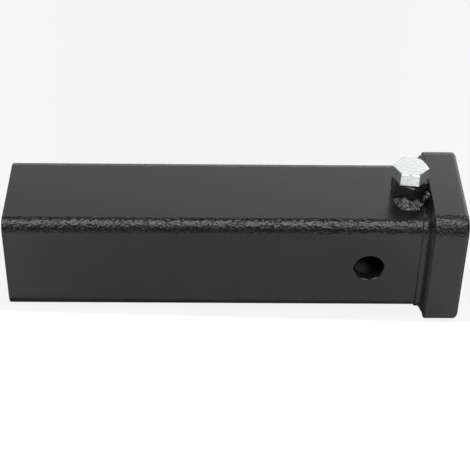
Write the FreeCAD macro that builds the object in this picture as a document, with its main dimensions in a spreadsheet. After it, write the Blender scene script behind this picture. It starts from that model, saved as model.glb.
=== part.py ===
"""Receiver hitch extender: a square tube with a welded collar at its mouth, a cross hole for the hitch
pin, and a hex bolt that clamps the inserted shank through a nut welded on the top wall.

Frame, in millimetres: the origin is the centre of the mouth, +X points out of the mouth along the
tube, +Y lies along the hitch pin and +Z points up, to the bolt.
"""

import FreeCAD, Part
import math
import os
import Sketcher

# Driving dimensions: alias, value, meaning
SIZES = [
    ("tube_side", 63.5, "outside of the square tube"),
    ("tube_wall", 5.6, "wall of the tube"),
    ("tube_length", 268.0, "mouth to rear end"),
    ("tube_corner", 6.9, "outer corner radius of the tube"),
    ("bore_corner", 1.0, "inner corner radius of the tube"),
    ("mouth_chamfer", 1.2, "lead-in round the inside of the mouth"),
    ("end_chamfer", 0.5, "broken edges of the rear end"),
    ("pin_hole_diameter", 17.5, "cross hole for the hitch pin"),
    ("pin_hole_from_mouth", 55.0, "mouth to the cross hole's axis"),
    ("pin_hole_chamfer", 0.6, "broken edge of the cross hole"),
    ("collar_length", 20.0, "collar along the tube"),
    ("collar_wall", 6.5, "wall of the collar"),
    ("collar_clearance", 0.1, "gap between tube and collar"),
    ("collar_corner", 9.2, "outer corner radius of the collar"),
    ("collar_front_edge", 2.4, "rounding of the collar's front edge"),
    ("collar_back_edge", 0.8, "rounding of the collar's back edge"),
    ("weld_run", 6.0, "collar weld along the tube"),
    ("weld_setback", 0.2, "collar weld short of the collar's rounded back edge"),
    ("weld_crown", 0.4, "bulge of the collar weld's face"),
    ("thread_diameter", 12.7, "bolt thread"),
    ("thread_clearance", 0.05, "bolt to nut, on the radius"),
    ("bolt_hole_clearance", 0.75, "bolt to the top wall, on the radius"),
    ("nut_across_flats", 19.05, "nut"),
    ("nut_height", 11.1, "nut"),
    ("nut_turn", -25.0, "degrees that the nut is turned, 30 at most either way"),
    ("nut_to_collar", 1.6, "nut corner to the collar's back"),
    ("nut_countersink", 0.6, "broken edges of the nut's thread"),
    ("head_across_flats", 19.05, "bolt head"),
    ("head_height", 7.95, "bolt head with its washer face"),
    ("washer_face", 0.6, "raised round seat below the head"),
    ("hex_chamfer", 0.5, "flat end circle inside the flats"),
    ("hex_chamfer_angle", 30.0, "degrees"),
    ("bolt_length", 18.2, "below the head"),
    ("bolt_tip_chamfer", 1.2, "bolt tip"),
    ("bolt_backed_off", 0.35, "head above the nut, as shown"),
    ("bolt_turn", -8.0, "degrees that the head is turned"),
    ("nut_weld_leg", 7.0, "nut weld along the tube"),
    ("nut_weld_height", 5.5, "nut weld up the nut"),
    ("nut_weld_middle", 90.0, "degrees from the tube's axis to the middle of a nut weld"),
    ("nut_weld_sweep", 40.0, "degrees of the nut that a weld goes round, without its ends"),
    ("tack_radius", 6.0, "lump of weld between nut and collar, on the tube"),
    ("tack_top", 2.5, "radius of that lump's top"),
    ("tack_height", 6.5, "that lump"),
    ("tack_to_collar", 2.6, "middle of that lump to the collar's back"),
    ("tack_from_axis", 9.5, "middle of that lump to the bolt, across the tube"),
]

# Places that several pieces share
TUBE_TOP = "sizes.tube_side / 2"
COLLAR_BORE = "sizes.tube_side + 2 * sizes.collar_clearance"
COLLAR_SIDE = f"{COLLAR_BORE} + 2 * sizes.collar_wall"
NUT_REACH = "sizes.nut_across_flats / sqrt(3) * cos(sizes.nut_turn)"
BOLT_TO_COLLAR = f"(sizes.nut_to_collar + {NUT_REACH})"
BOLT_X = f"-(sizes.collar_length + {BOLT_TO_COLLAR})"
THREAD_RADIUS = "sizes.thread_diameter / 2"
PIN_HOLE_RADIUS = "sizes.pin_hole_diameter / 2"


class Ref:
    """Sketcher's numbers for a sketch's own axes and for the points of an edge."""

    X_AXIS = -1
    Y_AXIS = -2
    START = 1
    END = 2
    CENTRE = 3


TOLERANCE = 1e-4
UPWARDS = FreeCAD.Vector(0, 0, 1)

doc = FreeCAD.newDocument("hitch_extender")
sizes = doc.addObject("Spreadsheet::Sheet", "sizes")
for row, (alias, number, meaning) in enumerate(SIZES, start=1):
    sizes.set(f"A{row}", meaning)
    sizes.set(f"B{row}", str(number))
    sizes.setAlias(f"B{row}", alias)
doc.recompute()


def value(expression):
    """The number that an expression on the sheet gives."""
    result = sizes.evalExpression(expression)
    return float(getattr(result, "Value", result))


def new_body(label, x="0", y="0", z="0", turn="0"):
    """A body with its origin and its turn about Z at the given expressions."""
    body = doc.addObject("PartDesign::Body", label)
    body.Label = label
    for axis, expression in zip("xyz", (x, y, z)):
        body.setExpression(f"Placement.Base.{axis}", expression)
    body.setExpression("Placement.Rotation.Angle", turn)
    return body


def new_sketch(body, name, role, turn="0", **offset):
    """A sketch on one of the body's own origin planes, turned in it and moved by expressions x, y and z."""
    sketch = body.newObject("Sketcher::SketchObject", name)
    plane = next(f for f in body.Origin.OriginFeatures if f.Role == role)
    sketch.AttachmentSupport = [(plane, "")]
    sketch.MapMode = "FlatFace"
    sketch.setExpression("AttachmentOffset.Rotation.Angle", turn)
    for axis, expression in offset.items():
        sketch.setExpression(f"AttachmentOffset.Base.{axis}", expression)
    return sketch


def dimension(sketch, kind, refs, expression):
    """A dimension that follows an expression."""
    index = sketch.addConstraint(Sketcher.Constraint(kind, *refs, value(expression)))
    name = f"size_{index}"
    sketch.renameConstraint(index, name)
    sketch.setExpression(f"Constraints.{name}", expression)


def place(sketch, edge, point, x, y):
    """Fixes a point of an edge at the expressions x and y."""
    for kind, zero_line, expression in (("DistanceX", Ref.Y_AXIS, x), ("DistanceY", Ref.X_AXIS, y)):
        if expression == "0":
            sketch.addConstraint(Sketcher.Constraint("PointOnObject", edge, point, zero_line))
        else:
            dimension(sketch, kind, (Ref.X_AXIS, Ref.START, edge, point), expression)


def add_outline(sketch, corners, bulge=None):
    """A closed outline through corners given as pairs of expressions, counter-clockwise where its
    first side is an arc that bulges out."""
    points = [FreeCAD.Vector(value(x), value(y), 0) for x, y in corners]
    edges = []
    for i, start in enumerate(points):
        end = points[(i + 1) % len(points)]
        if bulge and i == 0:
            run = end - start
            out = FreeCAD.Vector(run.y, -run.x, 0).normalize()
            edges.append(sketch.addGeometry(Part.Arc(start, (start + end) / 2 + out * value(bulge), end)))
        else:
            edges.append(sketch.addGeometry(Part.LineSegment(start, end)))
    for i, edge in enumerate(edges):
        sketch.addConstraint(Sketcher.Constraint("Coincident", edges[i - 1], Ref.END, edge, Ref.START))
        place(sketch, edge, Ref.START, *corners[i])
    if bulge:
        (x0, y0), (x1, y1) = corners[:2]
        half_chord_squared = f"((({x1}) - ({x0})) ^ 2 + (({y1}) - ({y0})) ^ 2) / 4"
        dimension(sketch, "Radius", (edges[0],), f"({half_chord_squared} + {bulge} ^ 2) / (2 * {bulge})")


def add_circle(sketch, x, y, radius):
    centre = FreeCAD.Vector(value(x), value(y), 0)
    circle = sketch.addGeometry(Part.Circle(centre, UPWARDS, value(radius)))
    place(sketch, circle, Ref.CENTRE, x, y)
    dimension(sketch, "Radius", (circle,), radius)


def add_rounded_square(sketch, side, corner):
    """A square about the sketch's origin with its corners rounded."""
    radius = value(corner)
    reach = value(f"({side}) / 2") - radius
    quarter = math.pi / 2
    arcs = []
    for i, (right, up) in enumerate([(1, 1), (-1, 1), (-1, -1), (1, -1)]):
        circle = Part.Circle(FreeCAD.Vector(right * reach, up * reach, 0), UPWARDS, radius)
        arcs.append(sketch.addGeometry(Part.ArcOfCircle(circle, i * quarter, (i + 1) * quarter)))
    for i, arc in enumerate(arcs):
        following = arcs[(i + 1) % len(arcs)]
        ends = sketch.getPoint(arc, Ref.END), sketch.getPoint(following, Ref.START)
        line = sketch.addGeometry(Part.LineSegment(*ends))
        sketch.addConstraint(Sketcher.Constraint("Tangent", arc, Ref.END, line, Ref.START))
        sketch.addConstraint(Sketcher.Constraint("Tangent", line, Ref.END, following, Ref.START))
        level = i % 2 == 0
        sketch.addConstraint(Sketcher.Constraint("Horizontal" if level else "Vertical", line))
        sign = "" if i in (0, 3) else "-"
        kind = "DistanceY" if level else "DistanceX"
        dimension(sketch, kind, (Ref.X_AXIS, Ref.START, line, Ref.START), f"{sign}({side}) / 2")
    for arc in arcs[1:]:
        sketch.addConstraint(Sketcher.Constraint("Equal", arcs[0], arc))
    dimension(sketch, "Radius", (arcs[0],), corner)


def add_hexagon(sketch, across_flats):
    """A hexagon about the sketch's origin, with two corners on its X axis."""
    side = f"{across_flats} / sqrt(3)"
    flat = f"{across_flats} / 2"
    front = [(f"-{side} / 2", f"-{flat}"), (f"{side} / 2", f"-{flat}")]
    back = [(f"{side} / 2", flat), (f"-{side} / 2", flat)]
    add_outline(sketch, [*front, (side, "0"), *back, (f"-{side}", "0")])


def must_cut(feature):
    """Stops where a cut leaves its base as large as it was."""
    doc.recompute()
    if feature.Shape.Volume > feature.BaseFeature.Shape.Volume - TOLERANCE:
        raise RuntimeError(f"{feature.Label} removes nothing")


def pad(body, sketch, length, back=False):
    feature = body.newObject("PartDesign::Pad", f"{sketch.Name}_pad")
    feature.Profile = sketch
    feature.Reversed = back
    feature.setExpression("Length", length)
    doc.recompute()
    return feature


def cut_through(body, sketch, forwards=False, both_ways=False):
    """Cuts through everything against the sketch's normal, along it or both ways."""
    feature = body.newObject("PartDesign::Pocket", f"{sketch.Name}_cut")
    feature.Profile = sketch
    feature.Type = "ThroughAll"
    feature.Reversed = forwards
    feature.Midplane = both_ways
    must_cut(feature)
    return feature


def spin(body, sketch, kind):
    """A Revolution or a Groove all round the sketch's upright axis."""
    feature = body.newObject(f"PartDesign::{kind}", f"{sketch.Name}_spin")
    feature.Profile = sketch
    feature.ReferenceAxis = (sketch, ["V_Axis"])
    doc.recompute()
    return feature


def dress(body, kind, base, picks, size):
    """A Fillet or a Chamfer on the edges that picks says yes to."""
    names = [f"Edge{i}" for i, edge in enumerate(base.Shape.Edges, start=1) if picks(edge)]
    feature = body.newObject(f"PartDesign::{kind}", f"{base.Name}_{kind.lower()}")
    feature.Base = (base, names)
    feature.setExpression("Radius" if kind == "Fillet" else "Size", size)
    must_cut(feature)
    return feature


def lies_at(shape, axis, expression):
    """Whether all of an edge or a face has this X, Y or Z."""
    level = value(expression)
    ends = getattr(shape.BoundBox, f"{axis}Min"), getattr(shape.BoundBox, f"{axis}Max")
    return all(abs(end - level) < TOLERANCE for end in ends)


def at_end(base, level, outside):
    """A test for the edges round the outside, or the inside, of a tube's end face at this X."""
    face = next(face for face in base.Shape.Faces if lies_at(face, "X", level))

    def picks(edge):
        return lies_at(edge, "X", level) and outside == any(map(edge.isSame, face.OuterWire.Edges))

    return picks


def is_round(edge, radius):
    return isinstance(edge.Curve, Part.Circle) and abs(edge.Curve.Radius - value(radius)) < TOLERANCE


def chamfer_hexagon(body, name, across_flats, ends):
    """Takes the corners off a hexagon with a cone at each end: (level, + or - for into the metal)."""
    flat = f"({across_flats} / 2 - sizes.hex_chamfer)"
    outside = f"({across_flats} / sqrt(3) + sizes.hex_chamfer)"
    depth = f"({outside} - {flat}) * tan(sizes.hex_chamfer_angle)"
    sketch = new_sketch(body, name, "XZ_Plane")
    for level, inwards in ends:
        add_outline(sketch, [(flat, level), (outside, level), (outside, f"{level} {inwards} {depth}")])
    groove = spin(body, sketch, "Groove")
    must_cut(groove)
    return groove


def make_receiver_tube():
    body = new_body("receiver_tube")
    section = new_sketch(body, "tube_section", "YZ_Plane")
    bore_side = "sizes.tube_side - 2 * sizes.tube_wall"
    add_rounded_square(section, "sizes.tube_side", "sizes.tube_corner")
    add_rounded_square(section, bore_side, "sizes.bore_corner")
    pad(body, section, "sizes.tube_length", back=True)
    pin_hole = new_sketch(body, "pin_hole", "XZ_Plane")
    add_circle(pin_hole, "-sizes.pin_hole_from_mouth", "0", PIN_HOLE_RADIUS)
    cut_through(body, pin_hole, both_ways=True)
    bolt_hole = new_sketch(body, "bolt_hole", "XY_Plane")
    add_circle(bolt_hole, BOLT_X, "0", f"{THREAD_RADIUS} + sizes.bolt_hole_clearance")
    drilled = cut_through(body, bolt_hole, forwards=True)

    def round_pin_hole(edge):
        on_side = lies_at(edge, "Y", TUBE_TOP) or lies_at(edge, "Y", f"-{TUBE_TOP}")
        return on_side and is_round(edge, PIN_HOLE_RADIUS)

    def at_rear_end(edge):
        return lies_at(edge, "X", "-sizes.tube_length")

    eased = dress(body, "Chamfer", drilled, round_pin_hole, "sizes.pin_hole_chamfer")
    opened = dress(body, "Chamfer", eased, at_end(eased, "0", outside=False), "sizes.mouth_chamfer")
    dress(body, "Chamfer", opened, at_rear_end, "sizes.end_chamfer")
    return body


def make_mouth_collar():
    body = new_body("mouth_collar")
    section = new_sketch(body, "collar_section", "YZ_Plane")
    add_rounded_square(section, COLLAR_SIDE, "sizes.collar_corner")
    add_rounded_square(section, COLLAR_BORE, "sizes.tube_corner + sizes.collar_clearance")
    ring = pad(body, section, "sizes.collar_length", back=True)
    rounded = dress(body, "Fillet", ring, at_end(ring, "0", outside=True), "sizes.collar_front_edge")
    back_edge = at_end(rounded, "-sizes.collar_length", outside=True)
    dress(body, "Fillet", rounded, back_edge, "sizes.collar_back_edge")
    return body


def make_collar_weld():
    """A fillet weld swept round the tube behind the collar, with room for the nut."""
    body = new_body("collar_weld", x="-sizes.collar_length")
    path = new_sketch(body, "weld_path", "YZ_Plane")
    add_rounded_square(path, "sizes.tube_side", "sizes.tube_corner")
    rise = "sizes.collar_clearance + sizes.collar_wall - sizes.collar_back_edge - sizes.weld_setback"
    section = new_sketch(body, "weld_section", "XZ_Plane")
    corners = [("0", f"{TUBE_TOP} + {rise}"), ("-sizes.weld_run", TUBE_TOP), ("0", TUBE_TOP)]
    add_outline(section, corners, bulge="sizes.weld_crown")
    bead = body.newObject("PartDesign::AdditivePipe", "weld_bead")
    bead.Profile = section
    bead.Spine = path
    doc.recompute()
    nut_room = new_sketch(body, "nut_room", "XY_Plane", turn="sizes.nut_turn", x=f"-{BOLT_TO_COLLAR}")
    add_hexagon(nut_room, "sizes.nut_across_flats")
    cut_through(body, nut_room, forwards=True)
    return body


def make_weld_nut():
    body = new_body("weld_nut", x=BOLT_X, z=TUBE_TOP, turn="sizes.nut_turn")
    outline = new_sketch(body, "nut_outline", "XY_Plane")
    add_hexagon(outline, "sizes.nut_across_flats")
    pad(body, outline, "sizes.nut_height")
    ends = [("0", "+"), ("sizes.nut_height", "-")]
    chamfer_hexagon(body, "nut_corners", "sizes.nut_across_flats", ends)
    thread = new_sketch(body, "nut_thread", "XY_Plane")
    bore = f"{THREAD_RADIUS} + sizes.thread_clearance"
    add_circle(thread, "0", "0", bore)
    bored = cut_through(body, thread, forwards=True)
    dress(body, "Chamfer", bored, lambda edge: is_round(edge, bore), "sizes.nut_countersink")
    return body


def make_clamp_bolt():
    head_seat = f"{TUBE_TOP} + sizes.nut_height + sizes.bolt_backed_off"
    body = new_body("clamp_bolt", x=BOLT_X, z=head_seat, turn="sizes.bolt_turn")
    turned = new_sketch(body, "shank", "XZ_Plane")
    seat = "sizes.head_across_flats / 2 - sizes.hex_chamfer"
    shank = [
        ("0", "sizes.washer_face"),
        (seat, "sizes.washer_face"),
        (seat, "0"),
        (THREAD_RADIUS, "0"),
        (THREAD_RADIUS, "sizes.bolt_tip_chamfer - sizes.bolt_length"),
        (f"{THREAD_RADIUS} - sizes.bolt_tip_chamfer", "-sizes.bolt_length"),
        ("0", "-sizes.bolt_length"),
    ]
    add_outline(turned, shank)
    spin(body, turned, "Revolution")
    outline = new_sketch(body, "head_outline", "XY_Plane", z="sizes.washer_face")
    add_hexagon(outline, "sizes.head_across_flats")
    pad(body, outline, "sizes.head_height - sizes.washer_face")
    chamfer_hexagon(body, "head_corners", "sizes.head_across_flats", [("sizes.head_height", "-")])
    return body


def add_primitive(kind, name, sizes_by_name, x="0", y="0", turn="0"):
    """A Part primitive on the tube's top, placed from the bolt's axis."""
    item = doc.addObject(f"Part::{kind}", name)
    for size, expression in sizes_by_name.items():
        item.setExpression(size, expression)
    item.setExpression("Placement.Base.x", f"{BOLT_X} + {x}")
    item.setExpression("Placement.Base.y", y)
    item.setExpression("Placement.Base.z", TUBE_TOP)
    item.setExpression("Placement.Rotation.Angle", turn)
    return item


def add_cone(name, foot, top, height, sweep="360", **spot):
    cone_sizes = {"Radius1": foot, "Radius2": top, "Height": height, "Angle": sweep}
    return add_primitive("Cone", name, cone_sizes, **spot)


def make_nut_weld(label, side, no_weld_here):
    """A fillet weld round a stretch of the nut, with round ends and a lump between nut and collar.

    The side is -1 for the front and 1 for the back.
    """
    flat = "sizes.nut_across_flats / 2"
    leg = "sizes.nut_weld_leg"
    height = "sizes.nut_weld_height"
    start = f"{side} * sizes.nut_weld_middle - sizes.nut_weld_sweep / 2"
    lumps = [add_cone(f"{label}_bead", f"{flat} + {leg}", flat, height, "sizes.nut_weld_sweep", turn=start)]
    for angle in (start, f"{start} + sizes.nut_weld_sweep"):
        end = {"x": f"{flat} * cos({angle})", "y": f"{flat} * sin({angle})"}
        lumps.append(add_cone(f"{label}_end", leg, "0", height, **end))
    beside_collar = {"x": f"{BOLT_TO_COLLAR} - sizes.tack_to_collar", "y": f"{side} * sizes.tack_from_axis"}
    tack = "sizes.tack_radius", "sizes.tack_top", "sizes.tack_height"
    lumps.append(add_cone(f"{label}_tack", *tack, **beside_collar))
    metal = doc.addObject("Part::MultiFuse", f"{label}_metal")
    metal.Shapes = lumps
    weld = doc.addObject("Part::Cut", label)
    weld.Base = metal
    weld.Tool = no_weld_here
    doc.recompute()
    return weld


def make_nut_welds(collar_weld):
    """The nut's two welds, which stop at the nut, the collar's back and the collar's weld."""
    tall = "sizes.nut_weld_height + sizes.tack_height"
    corner = "sizes.nut_across_flats / sqrt(3)"
    nut = add_primitive("Prism", "nut_space", {"Circumradius": corner, "Height": tall}, turn="sizes.nut_turn")
    deep = {"Length": "2 * sizes.tack_radius", "Width": "sizes.tube_side", "Height": tall}
    collar = add_primitive("Box", "collar_space", deep, x=BOLT_TO_COLLAR, y=f"-{TUBE_TOP}")
    no_weld_here = doc.addObject("Part::MultiFuse", "no_weld_here")
    no_weld_here.Shapes = [nut, collar, collar_weld]
    sides = {"nut_weld_front": "-1", "nut_weld_back": "1"}
    return [make_nut_weld(label, side, no_weld_here) for label, side in sides.items()]


def stop_if_faulty(pieces):
    for item in doc.Objects:
        if "Invalid" in item.State or "Error" in item.State:
            raise RuntimeError(f"{item.Label} failed: {item.State}")
    for piece in pieces:
        if piece.Shape.isNull() or not piece.Shape.isValid() or not piece.Shape.Solids:
            raise RuntimeError(f"{piece.Label} has no valid solid")


collar_weld = make_collar_weld()
pieces = [
    make_receiver_tube(),
    make_mouth_collar(),
    collar_weld,
    make_weld_nut(),
    make_clamp_bolt(),
    *make_nut_welds(collar_weld),
]
doc.recompute()
stop_if_faulty(pieces)
os.makedirs("parts", exist_ok=True)
for piece in pieces:
    piece.Shape.exportStep(f"parts/{piece.Label}.step")
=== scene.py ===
"""Receiver hitch extender: black powder coated tube, collar and welds, with a zinc plated clamp bolt."""

import math

import bmesh
import bpy
from mathutils import Matrix, Vector


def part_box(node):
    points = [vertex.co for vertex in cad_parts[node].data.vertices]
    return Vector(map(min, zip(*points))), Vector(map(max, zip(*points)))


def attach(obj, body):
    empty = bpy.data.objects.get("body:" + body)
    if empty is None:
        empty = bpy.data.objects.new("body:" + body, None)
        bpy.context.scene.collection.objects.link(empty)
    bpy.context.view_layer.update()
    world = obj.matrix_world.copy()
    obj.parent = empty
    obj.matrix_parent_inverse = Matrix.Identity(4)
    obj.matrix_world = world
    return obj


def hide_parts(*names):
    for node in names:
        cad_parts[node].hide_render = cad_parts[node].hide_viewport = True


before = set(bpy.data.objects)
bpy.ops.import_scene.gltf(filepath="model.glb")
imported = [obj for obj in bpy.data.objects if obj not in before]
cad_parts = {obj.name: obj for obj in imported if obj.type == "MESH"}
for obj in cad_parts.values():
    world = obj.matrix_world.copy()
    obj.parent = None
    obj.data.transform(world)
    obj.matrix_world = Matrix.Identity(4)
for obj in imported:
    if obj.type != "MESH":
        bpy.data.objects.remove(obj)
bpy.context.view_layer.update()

MM = 0.001

# The camera, fitted to the photograph's outlines
CAMERA_TARGET = Vector((-0.1342, 0.0, 0.0))
CAMERA_ELEVATION = math.radians(39.05)
CAMERA_TURN = math.radians(1.124)
CAMERA_ROLL = math.radians(1.059)
CAMERA_DISTANCE = 0.8369
CAMERA_OFFSET_RIGHT = 0.00082
CAMERA_OFFSET_UP = -0.00096
CAMERA_CLIP_START = 0.01
SENSOR_WIDTH = 36.0
LENS = 106.16

# Tube and collar
TUBE_CORNER = 6.9 * MM
COLLAR_CORNER = 9.2 * MM
BORE_HALF = 26.15 * MM

# Bolt and nut
FLATS = 19.05 * MM
END_CIRCLE = 9.02 * MM
CHAMFER_SLOPE = math.tan(math.radians(30.0))
STEPS_PER_FLAT = 12
HEAD_HEIGHT = 7.95 * MM
HEAD_TURN = math.radians(-8.0)
HEAD_DRAFT = math.tan(math.radians(3.0))
HEAD_EDGE = 0.22 * MM
HEAD_EDGE_STEPS = 2
WASHER_FACE = 0.6 * MM
THREAD_RADIUS = 6.35 * MM
THREAD_PITCH = 1.954 * MM
THREAD_DEPTH = 1.1 * MM
THREAD_SIDES = 72
THREAD_RINGS = 180
NUT_TURN = math.radians(-25.0)
NUT_BORE = 6.4 * MM
NUT_COUNTERSINK = 0.6 * MM
NUT_EDGE = 0.4 * MM
NUT_EDGE_STEPS = 3
ROUNDED_FROM = math.radians(22.0)
SHADED_SHARP_FROM = math.radians(8.0)

# The collar weld's face, as shares of its run from the toe and of its rise
WELD_FACE = [
    (0.0, 0.0),
    (0.05, 0.09),
    (0.1, 0.17),
    (0.2, 0.18),
    (0.35, 0.18),
    (0.5, 0.22),
    (0.6, 0.37),
    (0.7, 0.55),
    (0.8, 0.74),
    (0.9, 0.9),
    (1.0, 1.0),
]
WELD_BURIED = 0.4 * MM
WELD_CORNER_STEPS = 8
WELD_INTO_NUT = 0.2 * MM
NUT_ROOM_DEPTH = 40.0 * MM
NUT_WELD_SOFTENING = 8
LUMP_DETAIL = 2.0
MERGED_WITHIN = 0.001 * MM

# A ramp is two pairs of a value and the level there, and a noise scale counts lumps in a metre
COAT_DARK = (0.0045, 0.0045, 0.0048, 1.0)
COAT_PALE = (0.0075, 0.0075, 0.008, 1.0)
COAT_PATCH_SCALE = 45.0
COAT_PATCH_DETAIL = 3.0
COAT_ROUGHNESS = ((0.3, 0.18), (0.7, 0.25))
# The coat's shine is turned down inside the bore: painted shade that keeps the bore dark
COAT_SHINE_WITH_BORE_SHADE = ((BORE_HALF + 0.5 * MM, 0.15), (BORE_HALF + 3.0 * MM, 0.5))
COAT_GRAIN_SCALE = 2600.0
COAT_GRAIN_DETAIL = 1.0
COAT_GRAIN_DEPTH = 0.01 * MM
PEEL_SCALE = 650.0
PEEL_DETAIL = 1.0
PEEL_LEAD = 1.0 * MM
PEEL_FULL = 2.0 * MM
PEEL_ON_FLATS = 0.08
TUBE_PEEL = 0.65 * MM
COLLAR_PEEL = 0.75 * MM
WELD_PEEL = 0.5 * MM
ZINC_DARK = (0.575, 0.597, 0.592, 1.0)
ZINC_PALE = (0.65, 0.675, 0.668, 1.0)
ZINC_METALLIC = 0.83
ZINC_MOTTLE_SCALE = 380.0
ZINC_MOTTLE_DETAIL = 4.0
ZINC_ROUGHNESS = ((0.3, 0.12), (0.7, 0.2))
ZINC_GRAIN_SCALE = 800.0
ZINC_GRAIN_DETAIL = 2.0
ZINC_GRAIN_DEPTH = 0.15 * MM

# Floor: how pale it is, with painted light and shade on it, what it gives to the camera, and what only
# mirrors see
FLOOR_SIZE = 8.0
FLOOR_CLEARANCE = 0.1 * MM
FLOOR_ROUGHNESS = 0.9
# Painted shade on the floor: dark far in front of the part and at its foot, and darker along the tube's
# middle than at its ends
FLOOR_FAR_FRONT_PAINTED_SHADE = ((-0.24, 0.1), (-0.16, 1.0))
FLOOR_FOOT_PAINTED_SHADOW = ((-0.044, 1.0), (-0.034, 0.1))
FLOOR_ENDS_PAINTED_LIGHT = ((0.07, 0.48), (0.17, 0.68))
FLOOR_GLOW = 0.86
MIRRORED_BEHIND = ((0.0, 0.04), (0.4, 0.6))
# A patch of floor that glows only in mirrors: a painted reflection on the bolt head's front flat
REFLECTION_PATCH_LEFT_OF_BOLT = 16.0 * MM
REFLECTION_PATCH_SIDES = ((0.02, 0.62), (0.04, 0.0))
REFLECTION_PATCH_NEAR_END = ((-0.14, 1.0), (-0.11, 0.0))
REFLECTION_PATCH_FAR_END = ((-0.22, 0.0), (-0.18, 1.0))

# Studio wall, by the direction from the part
WALL_BEHIND = ((0.2, 0.03), (0.7, 1.45))
WALL_HEIGHT = ((0.5, 1.0), (0.8, 0.13))
WALL_RIGHT = ((-0.4, 0.78), (0.4, 1.3))

# Where the pieces lie, from the frame
tube_low, tube_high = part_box("receiver_tube")
collar_low, collar_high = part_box("mouth_collar")
weld_low, weld_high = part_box("collar_weld")
nut_low, nut_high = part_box("weld_nut")
bolt_low, bolt_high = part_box("clamp_bolt")
bolt_x = (bolt_low.x + bolt_high.x) / 2
head_seat = bolt_high.z - HEAD_HEIGHT


def add_camera():
    forward = Vector(
        (
            math.sin(CAMERA_TURN) * math.cos(CAMERA_ELEVATION),
            math.cos(CAMERA_TURN) * math.cos(CAMERA_ELEVATION),
            -math.sin(CAMERA_ELEVATION),
        )
    )
    level_right = Vector((math.cos(CAMERA_TURN), -math.sin(CAMERA_TURN), 0.0))
    level_up = level_right.cross(forward)
    right = level_right * math.cos(CAMERA_ROLL) + level_up * math.sin(CAMERA_ROLL)
    up = level_up * math.cos(CAMERA_ROLL) - level_right * math.sin(CAMERA_ROLL)
    aim = CAMERA_TARGET + right * CAMERA_OFFSET_RIGHT + up * CAMERA_OFFSET_UP
    place = aim - forward * CAMERA_DISTANCE
    data = bpy.data.cameras.new("camera")
    data.sensor_width = SENSOR_WIDTH
    data.lens = LENS
    data.clip_start = CAMERA_CLIP_START
    camera = bpy.data.objects.new("camera", data)
    turn = Matrix((right, up, -forward)).transposed().to_4x4()
    camera.matrix_world = Matrix.Translation(place) @ turn
    bpy.context.scene.collection.objects.link(camera)
    bpy.context.scene.camera = camera


def new_material(name):
    """A material, its node tree and its shader."""
    material = bpy.data.materials.new(name)
    material.use_nodes = True
    tree = material.node_tree
    return material, tree, tree.nodes["Principled BSDF"]


def axes_of(tree, kind):
    """The X, Y and Z of a point in one kind of texture coordinates."""
    coordinates = tree.nodes.new("ShaderNodeTexCoord")
    axes = tree.nodes.new("ShaderNodeSeparateXYZ")
    tree.links.new(coordinates.outputs[kind], axes.inputs["Vector"])
    return axes.outputs


def noise(tree, scale, detail):
    coordinates = tree.nodes.new("ShaderNodeTexCoord")
    texture = tree.nodes.new("ShaderNodeTexNoise")
    texture.inputs["Scale"].default_value = scale
    texture.inputs["Detail"].default_value = detail
    tree.links.new(coordinates.outputs["Object"], texture.inputs["Vector"])
    return texture.outputs["Fac"]


def ease(tree, value, ramp):
    """Goes smoothly from the ramp's first level to its second as the value goes from start to end."""
    (start, low), (end, high) = ramp
    node = tree.nodes.new("ShaderNodeMapRange")
    node.interpolation_type = "SMOOTHSTEP"
    node.inputs["From Min"].default_value = start
    node.inputs["From Max"].default_value = end
    node.inputs["To Min"].default_value = low
    node.inputs["To Max"].default_value = high
    tree.links.new(value, node.inputs["Value"])
    return node.outputs["Result"]


def combine(tree, operation, *terms):
    """A math node on sockets and plain numbers."""
    node = tree.nodes.new("ShaderNodeMath")
    node.operation = operation
    for socket, term in zip(node.inputs, terms):
        if isinstance(term, bpy.types.NodeSocket):
            tree.links.new(term, socket)
        else:
            socket.default_value = term
    return node.outputs["Value"]


def product(tree, first, second, third):
    return combine(tree, "MULTIPLY", combine(tree, "MULTIPLY", first, second), third)


def distance_from(tree, value, middle):
    return combine(tree, "ABSOLUTE", combine(tree, "SUBTRACT", value, middle))


def blend(tree, share, dark, pale):
    mix = tree.nodes.new("ShaderNodeMix")
    mix.data_type = "RGBA"
    mix.inputs["A"].default_value = dark
    mix.inputs["B"].default_value = pale
    tree.links.new(share, mix.inputs["Factor"])
    return mix.outputs["Result"]


def bump(tree, height, depth, strength=None, under=None):
    """The normal of a surface with this height, which may fade by strength and lie on another bump."""
    node = tree.nodes.new("ShaderNodeBump")
    node.inputs["Distance"].default_value = depth
    node.inputs["Strength"].default_value = 1.0
    tree.links.new(height, node.inputs["Height"])
    if strength:
        tree.links.new(strength, node.inputs["Strength"])
    if under:
        tree.links.new(under, node.inputs["Normal"])
    return node.outputs["Normal"]


def from_axis(tree, operation):
    """The lesser or greater of a point's distances from the tube's axis, sideways and up."""
    axes = axes_of(tree, "Object")
    sides = [combine(tree, "ABSOLUTE", axes[axis]) for axis in "YZ"]
    return combine(tree, operation, *sides)


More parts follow.
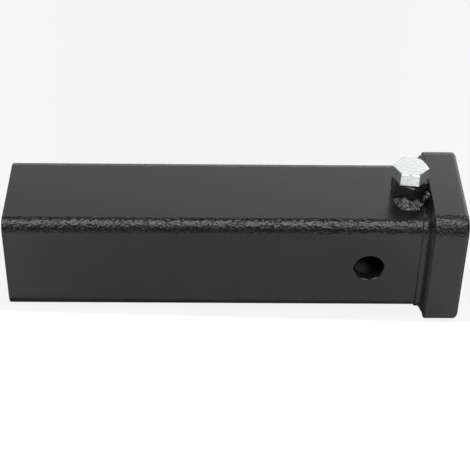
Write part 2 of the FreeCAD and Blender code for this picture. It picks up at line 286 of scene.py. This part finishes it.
def powder_coat(name, peel_depth, flat=None):
    """Black satin coat, its shine turned down in the bore as painted shade, with orange peel near corners or
    all over a weld.
    """
    material, tree, shader = new_material(name)
    patches = noise(tree, COAT_PATCH_SCALE, COAT_PATCH_DETAIL)
    tree.links.new(blend(tree, patches, COAT_DARK, COAT_PALE), shader.inputs["Base Color"])
    tree.links.new(ease(tree, patches, COAT_ROUGHNESS), shader.inputs["Roughness"])
    # Less shine inside the bore, as painted shade
    shine_with_bore_shade = ease(tree, from_axis(tree, "MAXIMUM"), COAT_SHINE_WITH_BORE_SHADE)
    tree.links.new(shine_with_bore_shade, shader.inputs["Specular IOR Level"])
    built_up = None
    if flat:
        ramp = ((flat - PEEL_LEAD, PEEL_ON_FLATS), (flat + PEEL_FULL, 1.0))
        built_up = ease(tree, from_axis(tree, "MINIMUM"), ramp)
    peel = noise(tree, PEEL_SCALE, PEEL_DETAIL)
    grain = noise(tree, COAT_GRAIN_SCALE, COAT_GRAIN_DETAIL)
    waves = bump(tree, peel, peel_depth, strength=built_up)
    tree.links.new(bump(tree, grain, COAT_GRAIN_DEPTH, under=waves), shader.inputs["Normal"])
    return material


def zinc_plate():
    """Bright zinc plating, a little mottled."""
    material, tree, shader = new_material("zinc_plate")
    mottle = noise(tree, ZINC_MOTTLE_SCALE, ZINC_MOTTLE_DETAIL)
    tree.links.new(blend(tree, mottle, ZINC_DARK, ZINC_PALE), shader.inputs["Base Color"])
    tree.links.new(ease(tree, mottle, ZINC_ROUGHNESS), shader.inputs["Roughness"])
    shader.inputs["Metallic"].default_value = ZINC_METALLIC
    grain = noise(tree, ZINC_GRAIN_SCALE, ZINC_GRAIN_DETAIL)
    tree.links.new(bump(tree, grain, ZINC_GRAIN_DEPTH), shader.inputs["Normal"])
    return material


class Recipe:
    """A geometry node tree in the making, with a start mesh and named sizes as its inputs."""

    def __init__(self, name, sizes):
        self.tree = bpy.data.node_groups.new(name, "GeometryNodeTree")
        self.sizes = sizes
        interface = self.tree.interface
        interface.new_socket("Start", in_out="INPUT", socket_type="NodeSocketGeometry")
        self.sockets = {}
        for label in sizes:
            self.sockets[label] = interface.new_socket(label, in_out="INPUT", socket_type="NodeSocketFloat")
        interface.new_socket("Geometry", in_out="OUTPUT", socket_type="NodeSocketGeometry")
        self.given = self.tree.nodes.new("NodeGroupInput").outputs

    def add(self, kind, inputs, output=0, **settings):
        """Adds a node, sets or links its inputs and returns one of its outputs."""
        node = self.tree.nodes.new(kind)
        for key, setting in settings.items():
            setattr(node, key, setting)
        for key, source in inputs.items():
            if isinstance(source, bpy.types.NodeSocket):
                self.tree.links.new(source, node.inputs[key])
            else:
                node.inputs[key].default_value = source
        return node.outputs[output]

    def math(self, operation, *terms):
        return self.add("ShaderNodeMath", dict(enumerate(terms)), operation=operation)

    def past(self, value, start):
        """How far a value is past its start, and nothing before it."""
        return self.math("MAXIMUM", self.math("SUBTRACT", value, start), 0.0)

    def vector(self, x=0.0, y=0.0, z=0.0):
        return self.add("ShaderNodeCombineXYZ", {"X": x, "Y": y, "Z": z})

    def scaled(self, vector, scale):
        return self.add("ShaderNodeVectorMath", {0: vector, "Scale": scale}, operation="SCALE")

    def along_normal(self, distance):
        return self.scaled(self.add("GeometryNodeInputNormal", {}), distance)

    def place(self):
        """The X, Y and Z of a point."""
        axes = self.tree.nodes.new("ShaderNodeSeparateXYZ")
        self.tree.links.new(self.add("GeometryNodeInputPosition", {}), axes.inputs[0])
        return axes.outputs

    def lumps(self, size, height):
        """Uneven lumps of this size, as a distance up and down."""
        scale = self.math("DIVIDE", 1.0, size)
        texture = self.add("ShaderNodeTexNoise", {"Scale": scale, "Detail": LUMP_DETAIL})
        return self.math("MULTIPLY", self.math("SUBTRACT", texture, 0.5), height)

    def roughened(self, height):
        """A height with the recipe's lumps and grain added."""
        given = self.given
        lumpy = self.math("ADD", height, self.lumps(given["Lump Size"], given["Lump Height"]))
        return self.math("ADD", lumpy, self.lumps(given["Grain Size"], given["Grain Height"]))

    def evenly_spaced(self, curve):
        inputs = {"Curve": curve, "Length": self.given["Step"]}
        return self.add("GeometryNodeResampleCurve", inputs, mode="LENGTH")

    def move(self, geometry, offset):
        return self.add("GeometryNodeSetPosition", {"Geometry": geometry, "Offset": offset})

    def make(self, geometry, material, start):
        """Ends the tree, runs it on the start mesh and returns the plain mesh that it gives."""
        real = self.add("GeometryNodeRealizeInstances", {"Geometry": geometry})
        smooth = self.add("GeometryNodeSetShadeSmooth", {"Geometry": real})
        painted = self.add("GeometryNodeSetMaterial", {"Geometry": smooth, "Material": material})
        output = self.tree.nodes.new("NodeGroupOutput")
        self.tree.links.new(painted, output.inputs["Geometry"])
        carrier = bpy.data.objects.new(self.tree.name, start)
        bpy.context.scene.collection.objects.link(carrier)
        modifier = carrier.modifiers.new(self.tree.name, "NODES")
        modifier.node_group = self.tree
        for label, size in self.sizes.items():
            modifier[self.sockets[label].identifier] = size
        evaluated = carrier.evaluated_get(bpy.context.evaluated_depsgraph_get())
        mesh = bpy.data.meshes.new_from_object(evaluated)
        carrier.modifiers.remove(modifier)
        bpy.data.objects.remove(carrier)
        return mesh


def finish_piece(name, mesh, material, body, node):
    piece = bpy.data.objects.new(name, mesh)
    mesh.materials.clear()
    mesh.materials.append(material)
    bpy.context.scene.collection.objects.link(piece)
    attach(piece, body)
    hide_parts(node)


def weld_outline(run, rise):
    """The collar weld's section: its face from the collar down to the toe, and a buried root."""
    outline = [(rise * height, run * (1 - share)) for share, height in reversed(WELD_FACE)]
    outline += [(-WELD_BURIED, run), (-WELD_BURIED, -WELD_BURIED), (rise, -WELD_BURIED)]
    mesh = bpy.data.meshes.new("weld_outline")
    edges = [(i, (i + 1) % len(outline)) for i in range(len(outline))]
    mesh.from_pydata([(out, back, 0.0) for out, back in outline], edges, [])
    return mesh


def swept_bead(recipe):
    """The weld's section swept round the tube, each point with its length along the weld."""
    given = recipe.given
    square = recipe.add(
        "GeometryNodeCurvePrimitiveQuadrilateral", {"Width": given["Side"], "Height": given["Side"]}
    )
    rounded = recipe.add(
        "GeometryNodeFilletCurve",
        {"Curve": square, "Radius": given["Corner"], "Count": WELD_CORNER_STEPS},
        mode="POLY",
    )
    length = recipe.add("GeometryNodeSplineParameter", {}, output="Length")
    path = recipe.add(
        "GeometryNodeStoreNamedAttribute",
        {"Geometry": recipe.evenly_spaced(rounded), "Name": "along", "Value": length},
    )
    corners = recipe.add("GeometryNodeMeshToCurve", {"Mesh": given["Start"]})
    curved = recipe.add("GeometryNodeCurveSplineType", {"Curve": corners}, spline_type="CATMULL_ROM")
    outline = recipe.evenly_spaced(curved)
    swept = recipe.add("GeometryNodeCurveToMesh", {"Curve": path, "Profile Curve": outline})
    return recipe.add(
        "GeometryNodeTransform",
        {
            "Geometry": swept,
            "Translation": recipe.vector(given["Collar Back"]),
            "Rotation": (math.pi / 2, 0.0, math.pi / 2),
        },
    )


def bead_ripples(recipe):
    """How far the skin stands out: bowed ripples along the weld, with lumps and grain."""
    given = recipe.given
    x = recipe.place()["X"]
    back = recipe.math("DIVIDE", recipe.math("SUBTRACT", given["Collar Back"], x), given["Run"])
    bow = recipe.math("POWER", recipe.math("SUBTRACT", back, 0.5), 2.0)
    along = recipe.add("GeometryNodeInputNamedAttribute", {"Name": "along"})
    turns = recipe.math("ADD", recipe.math("DIVIDE", along, given["Ripple Length"]), bow)
    wave = recipe.math("SINE", recipe.math("MULTIPLY", turns, math.tau))
    ripples = recipe.math("MULTIPLY", wave, given["Ripple Height"])
    return recipe.roughened(ripples)


def far_corner_rise(recipe):
    """How far a point moves out at the far top corner, on whose diagonal the weld is tallest."""
    given = recipe.given
    axes = recipe.place()
    past_y = recipe.past(axes["Y"], tube_high.y - TUBE_CORNER)
    past_z = recipe.past(axes["Z"], tube_high.z - TUBE_CORNER)
    outward = recipe.vector(0.0, past_y, past_z)
    reach = recipe.add("ShaderNodeVectorMath", {0: outward}, output="Value", operation="LENGTH")
    square_reach = recipe.math("MULTIPLY", reach, reach)
    slant = recipe.math("DIVIDE", recipe.math("MULTIPLY", past_y, past_z), square_reach)
    diagonal = recipe.math("POWER", recipe.math("MULTIPLY", slant, 2.0), 2.0)
    height = recipe.past(reach, given["Corner"])
    rise = recipe.math("MULTIPLY", recipe.math("MULTIPLY", height, diagonal), given["Fat Rise"])
    direction = recipe.add("ShaderNodeVectorMath", {0: outward}, operation="NORMALIZE")
    return recipe.scaled(direction, rise)


def far_corner_length(recipe):
    """How far a point moves back near the far top corner, where the weld is longest."""
    given = recipe.given
    x, y, z = recipe.place()
    beside = recipe.add(
        "ShaderNodeVectorMath",
        {0: recipe.vector(0.0, y, z), 1: (0.0, tube_high.y, tube_high.z)},
        output="Value",
        operation="DISTANCE",
    )
    near = recipe.add(
        "ShaderNodeMapRange",
        {"Value": beside, "From Min": given["Fat Reach"], "From Max": 0.0, "To Max": given["Fat Length"]},
        interpolation_type="SMOOTHSTEP",
    )
    return recipe.vector(recipe.math("MULTIPLY", recipe.math("SUBTRACT", x, given["Collar Back"]), near))


def cleared_of_nut(recipe, bead):
    """The weld with room cut for the nut."""
    hexagon = recipe.add(
        "GeometryNodeMeshCylinder",
        {"Vertices": 6, "Radius": recipe.given["Nut Corner"], "Depth": NUT_ROOM_DEPTH},
    )
    nut_room = recipe.add(
        "GeometryNodeTransform",
        {"Geometry": hexagon, "Translation": (bolt_x, 0.0, tube_high.z), "Rotation": (0.0, 0.0, NUT_TURN)},
    )
    return recipe.add("GeometryNodeMeshBoolean", {"Mesh 1": bead, "Mesh 2": nut_room}, operation="DIFFERENCE")


def collar_bead(coat):
    """The weld behind the collar, fat at the far top corner."""
    run = collar_low.x - weld_low.x
    rise = weld_high.z - tube_high.z
    sizes = {
        "Side": tube_high.z - tube_low.z,
        "Corner": TUBE_CORNER,
        "Step": 0.4 * MM,
        "Collar Back": collar_low.x,
        "Run": run,
        "Ripple Length": 1.5 * MM,
        "Ripple Height": 0.06 * MM,
        "Lump Size": 5.0 * MM,
        "Lump Height": 0.7 * MM,
        "Grain Size": 1.2 * MM,
        "Grain Height": 0.12 * MM,
        "Fat Length": 0.8,
        "Fat Rise": 0.26,
        "Fat Reach": 26.0 * MM,
        "Nut Corner": FLATS / math.sqrt(3) - WELD_INTO_NUT,
    }
    recipe = Recipe("collar_bead", sizes)
    rough = recipe.move(swept_bead(recipe), recipe.along_normal(bead_ripples(recipe)))
    tall = recipe.move(rough, far_corner_rise(recipe))
    fat = recipe.move(tall, far_corner_length(recipe))
    cleared = cleared_of_nut(recipe, fat)
    bare = recipe.add("GeometryNodeRemoveAttribute", {"Geometry": cleared, "Name": "along"})
    mesh = recipe.make(bare, coat, weld_outline(run, rise))
    finish_piece("collar_bead", mesh, coat, "receiver", "collar_weld")


def merged_copy(node):
    """A copy of a CAD node's mesh with its triangles joined."""
    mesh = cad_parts[node].data.copy()
    work = bmesh.new()
    work.from_mesh(mesh)
    bmesh.ops.remove_doubles(work, verts=work.verts, dist=MERGED_WITHIN)
    work.to_mesh(mesh)
    work.free()
    return mesh


def softened_weld(recipe):
    """The start mesh with its edges melted away."""
    voxels = {"Voxel Size": recipe.given["Voxel"]}
    body = recipe.add(
        "GeometryNodeMeshToVolume", {"Mesh": recipe.given["Start"], **voxels}, resolution_mode="VOXEL_SIZE"
    )
    skin = recipe.add("GeometryNodeVolumeToMesh", {"Volume": body, **voxels}, resolution_mode="VOXEL_SIZE")
    soft = recipe.add(
        "GeometryNodeBlurAttribute",
        {"Value": recipe.add("GeometryNodeInputPosition", {}), "Iterations": NUT_WELD_SOFTENING},
        data_type="FLOAT_VECTOR",
    )
    return recipe.add("GeometryNodeSetPosition", {"Geometry": skin, "Position": soft})


def nut_weld_fan(recipe):
    """How far a point moves out over the tube and down, but for the tack beside the collar."""
    given = recipe.given
    x, y, z = recipe.place()
    fan = recipe.add(
        "ShaderNodeMapRange",
        {"Value": recipe.math("SUBTRACT", x, given["Tack"]), "From Min": given["Tack Edge"], "From Max": 0.0},
        interpolation_type="SMOOTHSTEP",
    )
    past_nut = recipe.past(recipe.math("ABSOLUTE", y), FLATS / 2)
    sideways = recipe.math("MULTIPLY", past_nut, recipe.math("SIGN", y))
    out = recipe.math("MULTIPLY", sideways, given["Longer"])
    lower = recipe.add(
        "ShaderNodeMapRange",
        {
            "Value": x,
            "From Min": given["Left End"],
            "From Max": bolt_x,
            "To Min": given["Lower Left"],
            "To Max": given["Lower"],
        },
    )
    down = recipe.math("MULTIPLY", recipe.math("SUBTRACT", tube_high.z, z), lower)
    return recipe.vector(0.0, recipe.math("MULTIPLY", out, fan), recipe.math("MULTIPLY", down, fan))


def nut_bead(node, coat, fullness):
    """A lumpy weld on the nut, grown from the plain one."""
    sizes = {
        "Voxel": 0.35 * MM,
        "Fullness": fullness,
        "Longer": 0.4,
        "Lower": 0.25,
        "Lower Left": -0.2,
        "Left End": bolt_x - 10.0 * MM,
        "Tack": bolt_x + 5.0 * MM,
        "Tack Edge": 4.0 * MM,
        "Lump Size": 3.2 * MM,
        "Lump Height": 1.0 * MM,
        "Grain Size": 1.1 * MM,
        "Grain Height": 0.3 * MM,
    }
    recipe = Recipe(f"{node}_bead", sizes)
    fanned = recipe.move(softened_weld(recipe), nut_weld_fan(recipe))
    height = recipe.roughened(recipe.given["Fullness"])
    rough = recipe.move(fanned, recipe.along_normal(height))
    mesh = recipe.make(rough, coat, merged_copy(node))
    finish_piece(f"{node}_bead", mesh, coat, "receiver", node)


def hexagon_radius(angle):
    """The distance from the axis to a hexagon's side, with a corner at angle 0."""
    side = math.radians(60.0)
    return FLATS / 2 / math.cos(angle % side - side / 2)


def stack_rings(rings, turn, hollow):
    """A mesh of rings about the bolt's axis, each a pair of functions for its radius and its level."""
    count = 6 * STEPS_PER_FLAT
    work = bmesh.new()
    loops = []
    for radius, level in rings:
        loop = []
        for i in range(count):
            angle = math.tau * i / count
            x = bolt_x + radius(angle) * math.cos(angle + turn)
            y = radius(angle) * math.sin(angle + turn)
            loop.append(work.verts.new((x, y, level(angle))))
        loops.append(loop)
    pairs = list(zip(loops, loops[1:]))
    if hollow:
        pairs.append((loops[-1], loops[0]))
    else:
        work.faces.new(loops[0])
        work.faces.new(reversed(loops[-1]))
    for upper, lower in pairs:
        for i in range(count):
            j = (i + 1) % count
            work.faces.new((upper[i], lower[i], lower[j], upper[j]))
    bmesh.ops.recalc_face_normals(work, faces=work.faces)
    mesh = bpy.data.meshes.new("rings")
    work.to_mesh(mesh)
    work.free()
    return mesh


def round_ring(radius, level):
    return lambda angle: radius, lambda angle: level


def chamfer_ring(end, inwards, shrunk=0.0):
    """Where the cone that starts at the end's flat circle meets the flats, which may be drawn in there."""

    def radius(angle):
        return hexagon_radius(angle) * (1 - shrunk)

    return radius, lambda angle: end + inwards * CHAMFER_SLOPE * (radius(angle) - END_CIRCLE)


def eased_edges(mesh, width, steps):
    """The mesh with its edges rounded, its flats shaded flat and its round sides smooth."""
    carrier = bpy.data.objects.new("eased", mesh)
    bpy.context.scene.collection.objects.link(carrier)
    bevel = carrier.modifiers.new("bevel", "BEVEL")
    bevel.width = width
    bevel.segments = steps
    bevel.limit_method = "ANGLE"
    bevel.angle_limit = ROUNDED_FROM
    bevel.use_clamp_overlap = True
    evaluated = carrier.evaluated_get(bpy.context.evaluated_depsgraph_get())
    result = bpy.data.meshes.new_from_object(evaluated)
    bpy.data.objects.remove(carrier)
    result.shade_smooth()
    result.set_sharp_from_angle(angle=SHADED_SHARP_FROM)
    return result


def bolt_head():
    """The head, whose flats lean in a little towards its top as a forged one's do."""
    shrunk = HEAD_DRAFT * (HEAD_HEIGHT - WASHER_FACE) / (FLATS / 2)
    rings = [
        round_ring(END_CIRCLE, bolt_high.z),
        chamfer_ring(bolt_high.z, -1, shrunk),
        (hexagon_radius, lambda angle: head_seat + WASHER_FACE),
        round_ring(END_CIRCLE, head_seat + WASHER_FACE),
        round_ring(END_CIRCLE, head_seat),
        round_ring(THREAD_RADIUS - THREAD_DEPTH, head_seat),
    ]
    return eased_edges(stack_rings(rings, HEAD_TURN, hollow=False), HEAD_EDGE, HEAD_EDGE_STEPS)


def bolt_thread(zinc):
    """A fully threaded shank with a chamfered tip."""
    sizes = {
        "Length": head_seat - bolt_low.z + WASHER_FACE / 2,
        "Radius": THREAD_RADIUS,
        "Pitch": THREAD_PITCH,
        "Depth": THREAD_DEPTH,
        "Crest End": 0.12,
        "Root Start": 0.86,
        "Tip Chamfer": 1.2 * MM,
    }
    recipe = Recipe("bolt_thread", sizes)
    given = recipe.given
    shank = recipe.add(
        "GeometryNodeMeshCylinder",
        {
            "Vertices": THREAD_SIDES,
            "Side Segments": THREAD_RINGS,
            "Radius": given["Radius"],
            "Depth": given["Length"],
        },
    )
    x, y, z = recipe.place()
    turns = recipe.math("DIVIDE", recipe.math("ARCTAN2", y, x), math.tau)
    phase = recipe.math("FRACT", recipe.math("SUBTRACT", recipe.math("DIVIDE", z, given["Pitch"]), turns))
    ridge = recipe.math("ABSOLUTE", recipe.math("SUBTRACT", recipe.math("MULTIPLY", phase, 2.0), 1.0))
    groove = recipe.add(
        "ShaderNodeMapRange",
        {"Value": ridge, "From Min": given["Crest End"], "From Max": given["Root Start"]},
    )
    cut = recipe.math("SUBTRACT", given["Radius"], recipe.math("MULTIPLY", groove, given["Depth"]))
    half = recipe.math("DIVIDE", given["Length"], 2.0)
    from_tip = recipe.math("ADD", z, half)
    tip = recipe.math("ADD", recipe.math("SUBTRACT", given["Radius"], given["Tip Chamfer"]), from_tip)
    share = recipe.math("DIVIDE", recipe.math("MINIMUM", cut, tip), given["Radius"])
    spot = recipe.vector(recipe.math("MULTIPLY", x, share), recipe.math("MULTIPLY", y, share), z)
    threaded = recipe.add("GeometryNodeSetPosition", {"Geometry": shank, "Position": spot})
    middle = recipe.vector(bolt_x, 0.0, recipe.math("ADD", half, bolt_low.z))
    placed = recipe.add("GeometryNodeTransform", {"Geometry": threaded, "Translation": middle})
    return recipe.make(placed, zinc, bpy.data.meshes.new("nothing"))


def clamp_bolt(zinc):
    work = bmesh.new()
    for part in (bolt_head(), bolt_thread(zinc)):
        work.from_mesh(part)
    mesh = bpy.data.meshes.new("clamp_bolt")
    work.to_mesh(mesh)
    work.free()
    finish_piece("threaded_clamp_bolt", mesh, zinc, "bolt", "clamp_bolt")


def painted_nut(coat):
    """The nut, its edges softened by the coat."""
    bore = [
        round_ring(NUT_BORE + NUT_COUNTERSINK, nut_high.z),
        round_ring(NUT_BORE, nut_high.z - NUT_COUNTERSINK),
        round_ring(NUT_BORE, nut_low.z + NUT_COUNTERSINK),
        round_ring(NUT_BORE + NUT_COUNTERSINK, nut_low.z),
    ]
    outside = [
        round_ring(END_CIRCLE, nut_low.z),
        chamfer_ring(nut_low.z, 1),
        chamfer_ring(nut_high.z, -1),
        round_ring(END_CIRCLE, nut_high.z),
    ]
    mesh = eased_edges(stack_rings(bore + outside, NUT_TURN, hollow=True), NUT_EDGE, NUT_EDGE_STEPS)
    finish_piece("painted_nut", mesh, coat, "receiver", "weld_nut")


def seen_directly(tree):
    """1 for what the camera sees, also through something clear, and 0 for light and mirrors."""
    path = tree.nodes.new("ShaderNodeLightPath").outputs
    return combine(tree, "MAXIMUM", path["Is Camera Ray"], path["Is Transmission Ray"])


def floor_paleness_with_painted_shade(tree, axes):
    """Pale in front of the part, more so at its ends, but dark far in front and at the part's foot: painted
    light at the ends, painted shade far in front, along the middle and at the foot.
    """
    front = ease(tree, axes["Y"], FLOOR_FAR_FRONT_PAINTED_SHADE)
    from_middle = distance_from(tree, axes["X"], tube_low.x / 2 - collar_low.x)
    ends = ease(tree, from_middle, FLOOR_ENDS_PAINTED_LIGHT)
    foot = ease(tree, axes["Y"], FLOOR_FOOT_PAINTED_SHADOW)
    return product(tree, front, ends, foot)


def floor_glow_in_mirrors(tree, axes):
    """What the floor adds in mirrors: a bright part behind, and a patch that glows only in mirrors, a painted
    reflection on the bolt head's front flat.
    """
    behind = ease(tree, axes["Y"], MIRRORED_BEHIND)
    from_reflection_patch = distance_from(tree, axes["X"], bolt_x - REFLECTION_PATCH_LEFT_OF_BOLT - collar_low.x)
    sides = ease(tree, from_reflection_patch, REFLECTION_PATCH_SIDES)
    near_end = ease(tree, axes["Y"], REFLECTION_PATCH_NEAR_END)
    far_end = ease(tree, axes["Y"], REFLECTION_PATCH_FAR_END)
    bright = combine(tree, "ADD", behind, product(tree, sides, near_end, far_end))
    path = tree.nodes.new("ShaderNodeLightPath").outputs
    return combine(tree, "MULTIPLY", path["Is Glossy Ray"], bright)


def add_floor():
    """A floor that the part rests on, at the collar's back edge and the tube's rear end."""
    slope = math.atan2(tube_low.z - collar_low.z, collar_low.x - tube_low.x)
    place = (collar_low.x, 0.0, collar_low.z - FLOOR_CLEARANCE)
    bpy.ops.mesh.primitive_plane_add(size=FLOOR_SIZE, location=place, rotation=(0.0, slope, 0.0))
    floor = bpy.context.object
    floor.name = "floor"
    material, tree, shader = new_material("floor")
    axes = axes_of(tree, "Object")
    tree.links.new(floor_paleness_with_painted_shade(tree, axes), shader.inputs["Base Color"])
    shader.inputs["Roughness"].default_value = FLOOR_ROUGHNESS
    shader.inputs["Specular IOR Level"].default_value = 0.0
    strength = combine(tree, "MULTIPLY_ADD", seen_directly(tree), FLOOR_GLOW, floor_glow_in_mirrors(tree, axes))
    glow = tree.nodes.new("ShaderNodeEmission")
    tree.links.new(strength, glow.inputs["Strength"])
    both = tree.nodes.new("ShaderNodeAddShader")
    tree.links.new(shader.outputs["BSDF"], both.inputs[0])
    tree.links.new(glow.outputs["Emission"], both.inputs[1])
    tree.links.new(both.outputs["Shader"], tree.nodes["Material Output"].inputs["Surface"])
    floor.data.materials.append(material)


def add_world():
    """A white studio: white to the camera, with a white wall behind the part and the dark in front of it."""
    world = bpy.data.worlds.new("studio")
    bpy.context.scene.world = world
    world.use_nodes = True
    tree = world.node_tree
    axes = axes_of(tree, "Generated")
    behind = ease(tree, axes["Y"], WALL_BEHIND)
    height = ease(tree, axes["Z"], WALL_HEIGHT)
    right = ease(tree, axes["X"], WALL_RIGHT)
    level = tree.nodes.new("ShaderNodeMix")
    tree.links.new(seen_directly(tree), level.inputs["Factor"])
    tree.links.new(product(tree, behind, height, right), level.inputs["A"])
    level.inputs["B"].default_value = 1.0
    background = tree.nodes["Background"]
    background.inputs["Color"].default_value = (1.0, 1.0, 1.0, 1.0)
    tree.links.new(level.outputs["Result"], background.inputs["Strength"])


def add_light(name, place, size, watts, mirrored=True):
    data = bpy.data.lights.new(name, "AREA")
    data.shape = "RECTANGLE"
    data.size, data.size_y = size
    data.energy = watts
    light = bpy.data.objects.new(name, data)
    aim = CAMERA_TARGET - Vector(place)
    light.rotation_euler = aim.to_track_quat("-Z", "Y").to_euler()
    light.location = place
    light.visible_glossy = mirrored
    bpy.context.scene.collection.objects.link(light)


def add_lights():
    add_light("overhead", place=(-0.13, -0.22, 0.92), size=(1.2, 0.5), watts=8.8)
    add_light("front_fill", place=(-0.03, -1.0, 0.2), size=(0.8, 0.4), watts=11.0, mirrored=False)
    for sideways in (-0.6, 0.6):
        add_light("side", place=(CAMERA_TARGET.x + sideways, -0.8, 0.8), size=(0.6, 0.6), watts=2.5)


bpy.context.scene.view_settings.view_transform = "Standard"
coat = powder_coat("black_powder_coat", TUBE_PEEL, flat=tube_high.y - TUBE_CORNER)
collar_coat = powder_coat("black_collar_coat", COLLAR_PEEL, flat=collar_high.y - COLLAR_CORNER)
weld_coat = powder_coat("black_weld_coat", WELD_PEEL)
zinc = zinc_plate()
for name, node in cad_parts.items():
    node.data.materials.clear()
    node.data.materials.append({"clamp_bolt": zinc, "mouth_collar": collar_coat}.get(name, coat))

collar_bead(coat)
nut_bead("nut_weld_front", weld_coat, fullness=0.3 * MM)
nut_bead("nut_weld_back", weld_coat, fullness=0.0)
painted_nut(coat)
clamp_bolt(zinc)

add_camera()
add_floor()
add_world()
add_lights()
